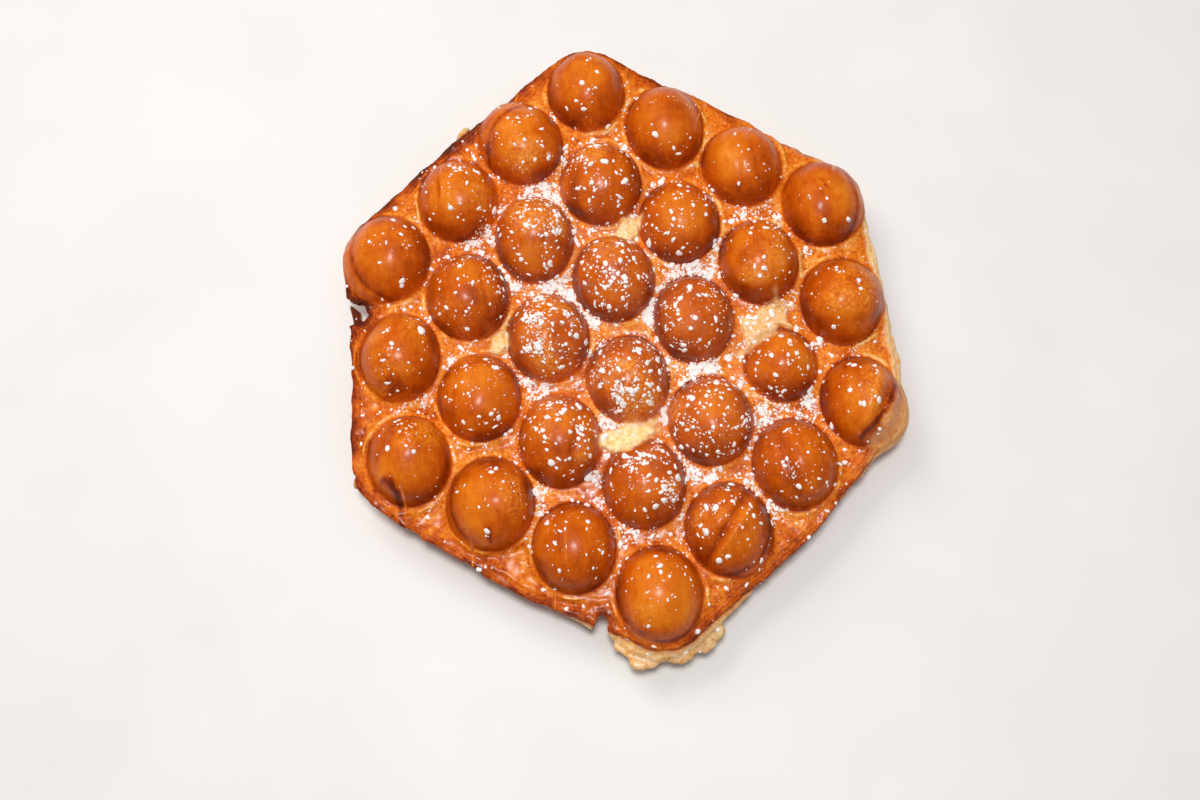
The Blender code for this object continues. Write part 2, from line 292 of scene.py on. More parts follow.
# Where the sugar fell: an oval's heading, in degrees, and its two spreads
SUGAR_OVAL_HEADING = -62
SUGAR_OVAL = (58.0, 37.0)
SUGAR_CONTRAST = 1.5
SUGAR_EVERYWHERE = 0.05
SUGAR_CLUSTERS = (98, (3.6, 3.0))
SUGAR_FOOT = (0.0, 1.2)
SUGAR_RIM = (-14.0, -5.0)
SUGAR_SLOPES = (0.25, 0.8)
SUGAR_OFF_PALE = 0.85
SUGAR_SMALLER = 0.8
HEAP_BUMPS = (96, (7.0, 1.0), (2.5, 0.5))
LUMP_HEAPS = (-0.25, 0.55)
POWDER_HEAPS = (-0.3, 0.5)

# The finer sugar: name, number, range of radii, how much more of it lies in the valleys, and its roundness
SUGAR_KINDS = (
    ("sugar_lumps", 1800, (0.4, 0.9), 3.0, 2),
    ("sugar_specks", 4000, (0.25, 0.5), 7.0, 1),
    ("sugar_grains", 5000, (0.1, 0.22), 5.0, 1),
)
LUMP_KINDS = 12
LUMP_BUMPS = (90, (0.9, 0.45))
LUMP_NOISE_STEP = 7.0
CLUMP_SUBDIVISIONS = 3
LUMP_STRETCH = np.array(((0.5, 0.5, 0.3), (1.4, 1.4, 0.6)))

# The threads of syrup that show, mostly where they run over the edge: where each starts and ends
THREADS = (
    ((-48.9, -43.4), (-50.4, -59.2)),
    ((-56.1, -62.9), (-56.9, -74.6)),
    ((-75.2, -42.4), (-76.1, -52.6)),
    ((-25.4, -61.3), (-28.0, -76.7)),
    ((-31.7, -81.2), (-33.2, -89.0)),
    ((-23.0, 91.4), (-26.5, 81.9)),
    ((-7.4, 101.0), (-11.1, 92.1)),
    ((16.1, 98.4), (11.9, 84.4)),
    ((39.4, 80.0), (35.4, 67.5)),
    ((55.3, 70.2), (50.2, 56.5)),
    ((79.4, 48.3), (75.5, 38.2)),
)
THREAD_STEP = 0.5
THREAD_SIDES = 6
THREAD_HALF_WIDTH = 0.5
THREAD_HEIGHT = 0.18
THREAD_SUNK = 0.06
THREAD_WANDER = (110, (6.0, 0.5))
THREAD_NOISE_STEP = 40.0
THREAD_ENDS = 0.04

# Pale, softly baked places: middle, half length, half width, heading and strength
PALE_PATCHES = (
    ((-1.6, -36.6), 9.6, 5.2, 8, 1.0),
    ((46.6, -4.6), 11.0, 5.8, 38, 0.55),
    ((7.0, 34.0), 6.0, 4.2, 60, 0.8),
    ((-40.0, 0.0), 4.2, 3.0, 60, 0.75),
    ((82.3, -43.2), 12.5, 4.4, 46, 0.24),
)

# The noises of the materials: size in millimetres, detail and, for the streaks along the eggs, stretch
STREAKS = (2.0, 2.0, (1.0, 0.14, 0.5))
BROAD_STREAKS = (5.5, 1.0, (1.0, 0.2, 0.5))
FINE_STREAKS = (0.7, 2.0, (1.0, 0.18, 0.5))
BLOTCHES = (6.0, 3.0)
MOTTLING = (2.4, 4.0)
GRAIN = (1.1, 3.0)
SPECKS = (1.3, 3.0)
PITS = (1.3, 4.0)
PORES = (1.6, 4.0)
LAYER_NOISE = (2.2, 3.0)
FILM_NOISE = (3.0, 4.0)
POWDER_NOISE = (1.5, 5.0)
SUGAR_NOISE = (0.6, 2.0)
SYRUP_NOISE = (4.0, 2.0)
TABLE_NOISE = (60.0, 2.0)
NOISE_ROUGHNESS = 0.55

# Where each part of the crust's material starts and is full, or a band's middle and half width
WEB_FADE = (0.1, 0.7)
SPECK_FADE = (0.67, 0.75)
RIM_FADE = (-7.0, -0.5)
LINE_BAND = (-0.8, 1.0)
LINE_FOOT = (0.0, 1.2)
LINE_BLOTCHES = (0.2, 0.7)
COLLAR_BAND = (1.1, 1.1)
COLLAR_BLOTCHES = (0.35, 0.65)
# Painted shade in the seam where a second shell meets its egg
SEAM_SHADE_FADE = (0.05, 0.4)
# Painted shade at the eggs' feet
FOOT_SHADE_BAND = (0.1, 0.4)
DUST_EVERYWHERE = (0.35, 1.0)
DUST_IN_VALLEYS = (0.1, 0.6)
FILM_PATCHES = (0.35, 0.75)
POWDER_FADE = (0.84, 0.90)
LAYERS_PER_MM = 5.0
LAYER_WANDER = 7.0
RIM_SMOOTHING = 0.6
FILM_STRENGTH = 0.22
POWDER_STRENGTH = 0.9
SMOOTHEST = 0.26
EGG_PITS = 0.15

# Colours as they show on a screen, 0 to 255, with their places on a ramp
BAKE_TONES = (
    (0.0, (252, 196, 118)),
    (0.14, (246, 162, 70)),
    (0.34, (233, 126, 24)),
    (0.55, (206, 90, 6)),
    (0.78, (146, 50, 4)),
    (1.0, (92, 32, 10)),
)
CREAM_TONES = ((0.25, (236, 168, 84)), (0.42, (254, 214, 136)), (0.6, (255, 242, 196)))
TONGUE_TONES = ((0.3, (140, 100, 60)), (0.38, (212, 164, 98)), (0.62, (240, 208, 150)))
SUGAR_TONES = ((0.3, (250, 238, 232)), (0.6, (255, 254, 252)))
SYRUP_TONES = ((0.3, (206, 92, 10)), (0.7, (228, 122, 24)))
TABLE_TONES = ((0.3, (238, 236, 233)), (0.7, (243, 241, 239)))
FILM_COLOUR = (232, 160, 120)
POWDER_COLOUR = (255, 244, 238)

# What the shaders take besides, the same all over
CRUST_FINISH = {"IOR": 1.45, "Specular IOR Level": 0.14, "Coat Weight": 0.25, "Coat Roughness": 0.2}
SUGAR_FINISH = {"Roughness": 0.85, "Specular IOR Level": 0.3}
SYRUP_FINISH = {"Roughness": 0.15, "Coat Weight": 0.6, "Coat Roughness": 0.08}
TABLE_FINISH = {"Roughness": 0.5}

# The table under the waffle, in millimetres, and the light: name, place and size in metres, power,
# tint, and whether the waffle mirrors it
TABLE_REACH = 1500.0
TABLE_DROP = 0.1
SKY_STRENGTH = 0.14
LIGHTS = (
    ("overhead", (-0.03, -0.02, 0.9), 0.15, 4.1, (1.0, 1.0, 1.0), True),
    ("key", (-0.45, 0.65, 0.8), 0.6, 5.1, (1.0, 0.97, 0.93), False),
    ("fill", (0.1, 0.1, 1.6), 2.4, 7.0, (1.0, 1.0, 1.0), False),
)


def turned(places, heading):
    """How far places are along a heading, in degrees, and across it."""
    turn = radians(heading)
    along = places[:, 0] * cos(turn) + places[:, 1] * sin(turn)
    across = places[:, 1] * cos(turn) - places[:, 0] * sin(turn)
    return along, across


def direction(heading):
    """A step of length one in the plane, for a heading in radians."""
    return np.array((cos(heading), sin(heading)))


def fade(low, high, value):
    """0 below a low value and 1 above a high one, with a soft start and end."""
    share = np.clip((value - low) / (high - low), 0.0, 1.0)
    return share * share * (3 - 2 * share)


def bell(value, middle, width):
    return np.exp(-(((value - middle) / width) ** 2))


def smooth_union(one, other, blend):
    share = np.clip(0.5 + 0.5 * (other - one) / blend, 0.0, 1.0)
    return other + (one - other) * share - blend * share * (1 - share)


def rounded_corner(one, other, radius):
    """The distance to what is inside both of two distances, with their corner rounded."""
    one = one + radius
    other = other + radius
    outside = np.hypot(np.maximum(one, 0), np.maximum(other, 0))
    return np.minimum(np.maximum(one, other), 0) + outside - radius


def bumps(places, size, seed):
    """Smooth noise between -1 and 1 with bumps of about a size, at places in the plane or in space."""
    dimensions = places.shape[1]
    table = np.random.default_rng(seed).uniform(-1, 1, (NOISE_CELLS,) * dimensions)
    scaled = places / size
    whole = np.floor(scaled).astype(int)
    share = fade(0, 1, scaled - whole)
    total = np.zeros(len(places))
    for corner in itertools.product((0, 1), repeat=dimensions):
        weight = np.ones(len(places))
        for axis, side in enumerate(corner):
            weight *= share[:, axis] if side else 1 - share[:, axis]
        index = tuple((whole[:, axis] + side) % NOISE_CELLS for axis, side in enumerate(corner))
        total += weight * table[index]
    return total


def relief(places, rule, seed=SEED):
    """Bumps of several sizes, by a rule that starts with a step from the seed."""
    step, *layers = rule
    return sum(height * bumps(places, size, seed + step + i) for i, (size, height) in enumerate(layers))


def plan_eggs(draw):
    """The eggs of the solid, drawn in the same order."""
    middle_column = (len(EGGS_IN_COLUMN) - 1) / 2
    eggs = []
    for column, count in enumerate(EGGS_IN_COLUMN):
        for row in range(count):
            x = (column - middle_column) * COLUMN_PITCH
            y = (row - (count - 1) / 2) * EGG_PITCH
            radii = np.array([r * (1 + draw.uniform(-1, 1) * EGG_SIZE_SPREAD) for r in EGG_RADII])
            shift = np.array([draw.uniform(-1, 1) * EGG_PLACE_SPREAD for _ in range(2)] + [0.0])
            if (column, row) == SLUMPED_EGG:
                radii = radii * SLUMP_SCALE
                shift = SLUMP_SHIFT
            middle = np.array((x, y, MIDDLE_HEIGHT)) + PATTERN_SHIFT + shift
            eggs.append(SimpleNamespace(place=(column, row), middle=middle, radii=radii))
    for egg in eggs:
        tilt = [draw.uniform(-1, 1) * EGG_TILT_SPREAD for _ in range(3)]
        egg.turn = np.array(Euler(tilt).to_matrix())
        egg.creases = [crease[2:] for crease in CREASES if crease[:2] == egg.place]
        egg.creases += [(radians(w[2]), *w[3:]) for w in WRINKLES if w[:2] == egg.place]
    return eggs


def crease_drop(egg, local):
    """How far the creases of an egg lower its upper surface, at places in the egg's own axes."""
    height_share = np.clip(local[:, 2] / egg.radii[2], 0, 1)
    drop = 0.0
    for heading, across, depth, half_width in egg.creases:
        off_line = local[:, 1] * cos(heading) - local[:, 0] * sin(heading) + across
        drop = drop + depth * height_share * bell(off_line, 0.0, half_width)
    return drop


def corner_eggs():
    """The middles of the six corner eggs, clockwise from the far tip."""
    tip = np.array((0.0, (max(EGGS_IN_COLUMN) - 1) / 2 * EGG_PITCH))
    side_x = (len(EGGS_IN_COLUMN) - 1) / 2 * COLUMN_PITCH
    side_y = (EGGS_IN_COLUMN[0] - 1) / 2 * EGG_PITCH
    corners = [tip, np.array((side_x, side_y)), np.array((side_x, -side_y))]
    corners += [-corner for corner in corners]
    return [corner + PATTERN_SHIFT[:2] for corner in corners]


def support_point(corner, heading):
    """The outermost point, in a heading, of an egg's outline round a corner."""
    squares = np.array(EGG_RADII[:2]) ** 2
    normal = direction(heading)
    return corner + squares * normal / sqrt(np.sum(squares * normal**2))


def side_heading(start, end):
    along = end - start
    return atan2(along[0], -along[1])


def layer_outline(reaches, seed):
    """The edge of a crust layer, the same as the solid's."""
    corners = corner_eggs()
    count = len(corners)
    headings = [side_heading(corners[i], corners[(i + 1) % count]) for i in range(count)]
    points = []

    def add(base, heading, station):
        whole = int(station)
        share = station - whole
        ease = share * share * (3 - 2 * share)
        reach = reaches[whole % len(reaches)] * (1 - ease) + reaches[(whole + 1) % len(reaches)] * ease
        place = Vector((base[0] / RIPPLE_LENGTH, base[1] / RIPPLE_LENGTH, seed))
        reach += OUTLINE_RIPPLE * noise.noise(place)
        points.append(base + reach * direction(heading))

    for i, corner in enumerate(corners):
        before = headings[i - 1]
        turn = (before - headings[i]) % tau
        for step in range(CORNER_STEPS + 1):
            heading = before - turn * step / CORNER_STEPS
            add(support_point(corner, heading), heading, 2.0 * i)
        start = support_point(corner, headings[i])
        end = support_point(corners[(i + 1) % count], headings[i])
        steps = round(norm(end - start) / OUTLINE_STEP)
        for step in range(1, steps):
            add(start + (end - start) * step / steps, headings[i], 2.0 * i + 2.0 * step / steps)
    return np.array(points)


def tongue_outline():
    points = []
    for step in range(TONGUE_POINTS):
        heading = direction(tau * step / TONGUE_POINTS)
        place = Vector((heading[0], heading[1], 0.0)) * TONGUE_WAVES
        point = TONGUE_MIDDLE + (1 + TONGUE_RAGGEDNESS * noise.noise(place)) * heading * TONGUE_REACH
        if heading[1] < 0:
            off_lobe = (point[0] - TONGUE_LOBE_PLACE) / TONGUE_LOBE_HALF_WIDTH
            point[1] -= TONGUE_LOBE_LENGTH * exp(-(off_lobe**4))
        points.append(point + PATTERN_SHIFT[:2])
    return np.array(points)


def polygon_distance(places, corners):
    """The signed distance from places in the plane to a closed outline, negative inside."""
    nearest = np.full(len(places), np.inf)
    inside = np.zeros(len(places), bool)
    for start, end in zip(corners, np.roll(corners, -1, axis=0)):
        along = end - start
        away = places - start
        share = np.clip(away @ along / (along @ along), 0, 1)
        nearest = np.minimum(nearest, norm(away - share[:, None] * along, axis=1))
        crosses = (start[1] > places[:, 1]) != (end[1] > places[:, 1])
        rise = np.where(end[1] == start[1], 1.0, end[1] - start[1])
        inside ^= crosses & (places[:, 0] < start[0] + (places[:, 1] - start[1]) * along[0] / rise)
    return np.where(inside, -nearest, nearest)


class PlanFields:
    """Values over the plan, worked out once on a fine grid and read between its points."""

    def __init__(self, **rules):
        counts = (2 * FIELD_REACH / FIELD_STEP).astype(int) + 1
        axes = [np.linspace(-reach, reach, count) for reach, count in zip(FIELD_REACH, counts)]
        places = np.stack(np.meshgrid(*axes, indexing="ij"), axis=-1).reshape(-1, 2)
        self.names = list(rules)
        self.values = np.stack([rule(places) for rule in rules.values()], axis=-1).reshape(*counts, -1)
        self.last = counts - 2

    def __call__(self, points):
        scaled = (points[:, :2] + FIELD_REACH) / FIELD_STEP
        whole = np.clip(scaled.astype(int), 0, self.last)
        i, j = whole.T
        u, v = np.clip(scaled - whole, 0, 1).T[:, :, None]
        near = self.values[i, j] * (1 - v) + self.values[i, j + 1] * v
        far = self.values[i + 1, j] * (1 - v) + self.values[i + 1, j + 1] * v
        return SimpleNamespace(**dict(zip(self.names, (near * (1 - u) + far * u).T)))


def layer_edge(places, reaches, seed):
    """The distance to a crust layer's torn and ragged edge."""
    edge = polygon_distance(places, layer_outline(reaches, seed)) + relief(places, RIM_RAGGED, seed)
    torn = relief(places, NOTCH_RAGGED, seed)
    for notch in NOTCHES:
        edge = np.maximum(edge, torn - polygon_distance(places, np.array(notch) + PATTERN_SHIFT[:2]))
    return edge


def tongue_edge(places):
    return polygon_distance(places, tongue_outline()) + relief(places, TONGUE_RAGGED)


def shard_edge(places):
    return polygon_distance(places, np.array(SHARD_CORNERS) + PATTERN_SHIFT[:2])


def collar_cover(places):
    """Where round the eggs the pan left a raised light collar, from 0 to 1."""
    return np.clip(COLLAR_SHARE + relief(places, COLLAR_PATCHES), 0, 1)


def stain_and_shade_cover(places):
    """The dark marks, each along a short line, from 0 to 1, with painted shade in a dimple and along a fold
    among them.
    """
    cover = np.zeros(len(places))
    ragged = relief(places, MARK_RAGGED)
    for start, end, half_width, strength in STAINS_AND_SHADE:
        start = np.array(start) + PATTERN_SHIFT[:2]
        along = np.array(end) + PATTERN_SHIFT[:2] - start
        share = np.clip((places - start) @ along / (along @ along), 0, 1)
        away = norm(places - start - share[:, None] * along, axis=1) / half_width
        cover = np.maximum(cover, strength * (1 - fade(*MARK_EDGE, away + ragged)))
    return cover


def pale_cover(places):
    """The pale, softly baked places, from 0 to 1."""
    cover = np.zeros(len(places))
    ragged = relief(places, PALE_RAGGED) + relief(places, PALE_TORN)
    for middle, half_length, half_width, heading, strength in PALE_PATCHES:
        along, across = turned(places - np.array(middle) - PATTERN_SHIFT[:2], heading)
        outward = np.hypot(along / half_length, across / half_width) + ragged
        cover = np.maximum(cover, strength * (1 - fade(*PALE_EDGE, outward)))
    return cover


def sugar_cover(places):
    """How much sugar fell on a place, from 0 to 1: an oval that leans from upper left to lower right."""
    along, across = turned(places - SUGAR_MIDDLE - PATTERN_SHIFT[:2], SUGAR_OVAL_HEADING)
    return np.exp(-0.5 * ((along / SUGAR_OVAL[0]) ** 2 + (across / SUGAR_OVAL[1]) ** 2))


PLAN = PlanFields(
    upper_edge=lambda places: layer_edge(places, UPPER_REACH, SEED),
    lower_edge=lambda places: layer_edge(places, LOWER_REACH, LOWER_SEED),
    tongue_edge=tongue_edge,
    shard_edge=shard_edge,
    warp=lambda places: relief(places, WEB_WARP),
    curl=lambda places: relief(places, RIM_CURL),
    wave=lambda places: relief(places, PLATE_WAVE),
    wander=lambda places: relief(places, COLLAR_WANDER),
    collar=collar_cover,
    pale=pale_cover,
    stain_and_shade=stain_and_shade_cover,
    sugar=sugar_cover,
)
DRAW = random.Random(SEED)
EGGS = plan_eggs(DRAW)


def egg_named(place):
    return next(egg for egg in EGGS if egg.place == place)


def ellipsoid_distance(local, radii):
    """A close estimate of the distance to an ellipsoid or an ellipse round the origin."""
    outward = norm(local / radii, axis=1)
    slope = norm(local / radii**2, axis=1)
    return outward * (outward - 1) / np.maximum(slope, LEAST_SLOPE)


def near_egg(points, egg, reach=EGG_REACH):
    """The numbers of the points that are near an egg, seen from above."""
    return np.flatnonzero((np.abs(points[:, :2] - egg.middle[:2]) < reach).all(axis=1))


def nearest_eggs(points):
    """The distances to the eggs in space and in the plane, and which egg is nearest in the plane."""
    in_space = np.full(len(points), FAR)
    in_plan = np.full(len(points), FAR)
    owner = np.full(len(points), -1)
    for number, egg in enumerate(EGGS):
        near = near_egg(points, egg)
        local = (points[near] - egg.middle) @ egg.turn
        flat = ellipsoid_distance(local[:, :2], egg.radii[:2])
        local[:, 2] += crease_drop(egg, local)
        in_space[near] = np.minimum(in_space[near], ellipsoid_distance(local, egg.radii))
        closer = flat < in_plan[near]
        in_plan[near[closer]] = flat[closer]
        owner[near[closer]] = number
    return in_space, in_plan, owner


def layer_distance(points, plan, to_edge, side, thickening):
    """The distance to one of the two crust layers, above or below the middle height by its side, 1 or -1."""
    at_rim = fade(-RIM_WIDTH, 0.0, to_edge)
    middle = MIDDLE_HEIGHT + plan.warp + at_rim * plan.curl
    middle += side * ((LAYER_THICKNESS - LAYER_OVERLAP) / 2 + RIM_PARTING * at_rim)
    half = LAYER_THICKNESS / 2 - RIM_THINNING * at_rim + thickening
    half = half + RIDGE_HEIGHT * plan.collar * bell(to_edge, OUTER_RIDGE, RIDGE_WIDTH)
    half = half + RIDGE_HEIGHT * (1 - plan.collar) * bell(to_edge + plan.wander, INNER_RIDGE, RIDGE_WIDTH)
    return rounded_corner(to_edge, np.abs(points[:, 2] - middle) - half, LAYER_THICKNESS / 5)


def plate_distance(points, plan, to_edge, height, thickness, waviness):
    """The distance to a thin wavy plate, such as the tongue."""
    middle = height + waviness * plan.wave
    return rounded_corner(to_edge, np.abs(points[:, 2] - middle) - thickness / 2, thickness / 4)


def turned_ellipsoid(points, middle, radii, heading):
    turn = np.array(Euler((0.0, 0.0, heading)).to_matrix())
    return ellipsoid_distance((points - middle) @ turn, radii)


def shell_distance(points):
    """The distance to the second shells that stand out on one side of some eggs."""
    nearest = np.full(len(points), FAR)
    for column, row, heading, shift, drop in SHELLS:
        egg = egg_named((column, row))
        side = np.append(direction(radians(heading)), 0.0)
        near = near_egg(points, egg)
        radii = egg.radii - np.array((SHELL_NARROWING, SHELL_NARROWING, drop))
        solid = ellipsoid_distance(points[near] - egg.middle - side * shift, radii)
        nearest[near] = np.minimum(nearest[near], solid)
    return nearest


def belly_distance(points):
    """The distance to the bulge in the side of one egg."""
    return ellipsoid_distance(points - egg_named(BELLIED_EGG).middle - BELLY_SHIFT, BELLY_RADII)


def crust_distance(points, fine=True):
    """The signed distance to the waffle's surface, negative inside, with its fine relief or without."""
    plan = PLAN(points)
    eggs, flat, _ = nearest_eggs(points)
    rough = 0.0
    if fine:
        rough = relief(points, WEB_RELIEF)
        eggs = eggs - relief(points, EGG_UNEVEN)
    collar = COLLAR_HEIGHT * plan.collar * bell(flat + plan.wander, COLLAR_PLACE, COLLAR_WIDTH)
    upper = layer_distance(points, plan, plan.upper_edge, 1, collar + rough + PALE_SWELL * plan.pale)
    lower = layer_distance(points, plan, plan.lower_edge, -1, collar / 2 + rough)
    web = np.minimum(upper, lower)
    eggs = smooth_union(eggs, shell_distance(points) - rough, SHELL_BLEND)
    crust = smooth_union(web, eggs, FOOT_BLEND)
    crust = smooth_union(crust, belly_distance(points), BELLY_BLEND)
    tongue_height = MIDDLE_HEIGHT - TONGUE_DROP
    tongue = plate_distance(points, plan, plan.tongue_edge, tongue_height, TONGUE_THICKNESS, TONGUE_WAVE)
    shard = plate_distance(points, plan, plan.shard_edge, MIDDLE_HEIGHT, SHARD_THICKNESS, SHARD_WAVE)
    pattern_middle = PATTERN_SHIFT + np.array((0.0, 0.0, MIDDLE_HEIGHT))
    flap = turned_ellipsoid(points, FLAP_PLACE + pattern_middle, FLAP_RADII, FLAP_HEADING)
    crust = np.minimum(crust, np.minimum(tongue, np.minimum(shard, flap)))
    for place, radii, heading in CURLS:
        middle = np.array(place) + pattern_middle
        curl = turned_ellipsoid(points, middle, np.array(radii), radians(heading))
        crust = np.minimum(crust, curl + rough)
    return np.maximum(crust, -points[:, 2])


def crust_slope(points, distance):
    """The gradient of the distance, by a small step along each axis."""
    steps = SLOPE_STEP * np.eye(3)
    return np.stack([(crust_distance(points + step) - distance) / SLOPE_STEP for step in steps], axis=1)


def fit_to_crust(points):
    """Moves points near the crust onto its true surface, along the slope of the distance."""
    for _ in range(FIT_ROUNDS):
        distance = crust_distance(points)
        slope = crust_slope(points, distance)
        steep = np.maximum(np.sum(slope**2, axis=1), FIT_SLOPE)
        move = np.clip(distance / steep, -FIT_STEP, FIT_STEP)
        points = points - move[:, None] * slope
        points[:, 2] = np.maximum(points[:, 2], 0.0)
    return points


def crust_surface():
    """The crust's points, in millimetres, and its four-sided faces."""
    low, high = (np.array(corner) / MM for corner in CAD_BOX)
    low = low - GRID_MARGIN
    counts = np.ceil((high + GRID_MARGIN - low) / VOXEL).astype(int)
    axes = [low[axis] + VOXEL * np.arange(counts[axis]) for axis in range(3)]
    grid_points = np.stack(np.meshgrid(*axes, indexing="ij"), axis=-1).reshape(-1, 3)
    distance = crust_distance(grid_points, fine=False).reshape(counts)
    reach = GRID_BAND * VOXEL
    grid = openvdb.FloatGrid(reach)
    grid.copyFromArray(np.clip(distance, -reach, reach).astype(np.float32))
    points, faces = grid.convertToQuads(0.0)
    points = fit_to_crust(low + VOXEL * points.astype(float))
    return largest_piece(points, faces)


def largest_piece(points, faces):
    """Leaves out loose scraps and closed bubbles inside the crust."""
    label = np.arange(len(points))
    while True:
        lowest = label[faces].min(axis=1)
        new = label.copy()
        np.minimum.at(new, faces.ravel(), np.repeat(lowest, faces.shape[1]))
        new = new[new]
        if np.array_equal(new, label):
            break
        label = new
    names, counts = np.unique(label, return_counts=True)
    kept = label == names[counts.argmax()]
    number = np.cumsum(kept) - 1
    faces = faces[kept[faces[:, 0]]]
    return points[kept], number[faces]


def new_mesh(name, points, faces, smooth=True):
    """A mesh object from points in millimetres."""
    mesh = bpy.data.meshes.new(name)
    mesh.from_pydata((points * MM).tolist(), [], faces.tolist())
    mesh.validate()
    if smooth:
        mesh.shade_smooth()
    obj = bpy.data.objects.new(name, mesh)
    bpy.context.scene.collection.objects.link(obj)
    return obj


def point_normals(obj):
    normals = np.zeros(3 * len(obj.data.vertices), np.float32)
    obj.data.vertices.foreach_get("normal", normals)
    return normals.reshape(-1, 3)


def heap_cover(points, low, high):
    """Where the sugar gathers in heaps, from 0 to 1."""
    return fade(low, high, relief(points, HEAP_BUMPS))


def bake_with_side_shade(points, plan, owner, web):
    """How dark the eggs and the web between them are baked, without marks and creases; the eggs darken
    towards their feet, partly browning and partly painted shade.
    """
    height = np.abs(points[:, 2] - MIDDLE_HEIGHT) / EGG_RADII[2]
    # The last tone is for the points that are near no egg
    tones = np.random.default_rng(EGG_TONE_SEED).uniform(-1, 1, len(EGGS) + 1)
    eggs = EGG_BAKE + SUGARED_BAKE * plan.sugar + SIDE_BAKE_AND_SHADE * (1 - fade(*SIDE_HEIGHTS, height))
    eggs += EGG_TONES * tones[owner] + relief(points, EGG_BAKE_PATCHES)
    valleys = WEB_BAKE + relief(points, WEB_BAKE_PATCHES)
    return eggs * (1 - web) + valleys * web


def painted_crease_shade(points):
    """Painted shade: how much darker the creases are painted, with painted light where they stand out."""
    bake_and_shade = np.zeros(len(points))
    for egg in EGGS:
        near = near_egg(points, egg, EGG_REACH / 2)
        bake_and_shade[near] += CREASE_SHADE * crease_drop(egg, (points[near] - egg.middle) @ egg.turn)
    return bake_and_shade


def colour_values(points, normals):
    """What the crust's material reads: distances in millimetres, and shares of baking with painted shade,
    paleness and sugar.
    """
    plan = PLAN(points)
    solid, flat, owner = nearest_eggs(points)
    shell = shell_distance(points)
    foot = np.minimum(solid, shell)
    height = points[:, 2]
    top = fade(*UPWARD, normals[:, 2])
    web = fade(*WEB_STARTS, foot)
    heading = np.degrees(np.arctan2(points[:, 1], points[:, 0]))
    rules = (RIM_BAND, RIM_LINE, RIM_PALENESS)
    band, line, light_rim = (np.interp(heading, *zip(*rule), period=360) for rule in rules)
    on_shell = fade(*SHELL_STARTS, solid) * (1 - fade(*SHELL_STARTS, shell))
    on_shard = 1 - fade(*SHARD_EDGE, plan.shard_edge)
    on_belly = (1 - fade(*BELLY_EDGE, belly_distance(points))) * fade(*BELLY_FOOT, solid)
    belly_top = on_belly * fade(*BELLY_HEIGHTS, height)
    tongue = (1 - fade(*TONGUE_EDGE, plan.tongue_edge)) * (1 - fade(*TONGUE_HEIGHTS, height))
    tongue *= fade(*TONGUE_FOOT, solid)
    lip = fade(*LIP_EDGE, plan.upper_edge) * fade(*LIP_FOOT, flat) * web
    lip *= (1 - on_shard) * (1 - on_belly)
    light_rim *= fade(*LIGHT_RIM, plan.upper_edge) * web * (1 - on_belly)
    patches = plan.pale * top * fade(*PATCH_FOOT, solid)
    creams = (patches, belly_top * BELLY_CREAM, tongue, lip * LIP_CREAM, light_rim * RIM_CREAM)
    pale = np.maximum.reduce(creams)
    # The baking share also carries painted shade, low on the eggs' sides and in their creases
    bake_and_shade = bake_with_side_shade(points, plan, owner, web) + painted_crease_shade(points)
    # Dark marks, with painted shade in a dimple and along a fold
    bake_and_shade += SHARD_BAKE * on_shard + plan.stain_and_shade * top
    bake_and_shade -= SHELL_PALER * on_shell + PATCH_PALER * patches + BELLY_PALER * belly_top
    return {
        "bake_and_shade": np.clip(bake_and_shade, 0, 1),
        "foot": foot,
        # Small in the seam where a second shell meets its egg, where the material paints shade
        "crease": np.maximum(np.abs(solid), np.abs(shell)),
        "ring": flat + plan.wander,
        "edge": np.clip(plan.upper_edge, *EDGE_RANGE),
        "band": band * (1 - np.clip(pale, 0, 1)),
        "line": line,
        "collar": plan.collar,
        "pale": np.clip(pale - STAIN_AND_SHADE_ON_CREAM * plan.stain_and_shade, 0, 1),
        "tongue": tongue,
        "dust": plan.sugar * top,
        "heaps": plan.sugar * top * web * heap_cover(points, *POWDER_HEAPS) * (1 - plan.pale),
    }


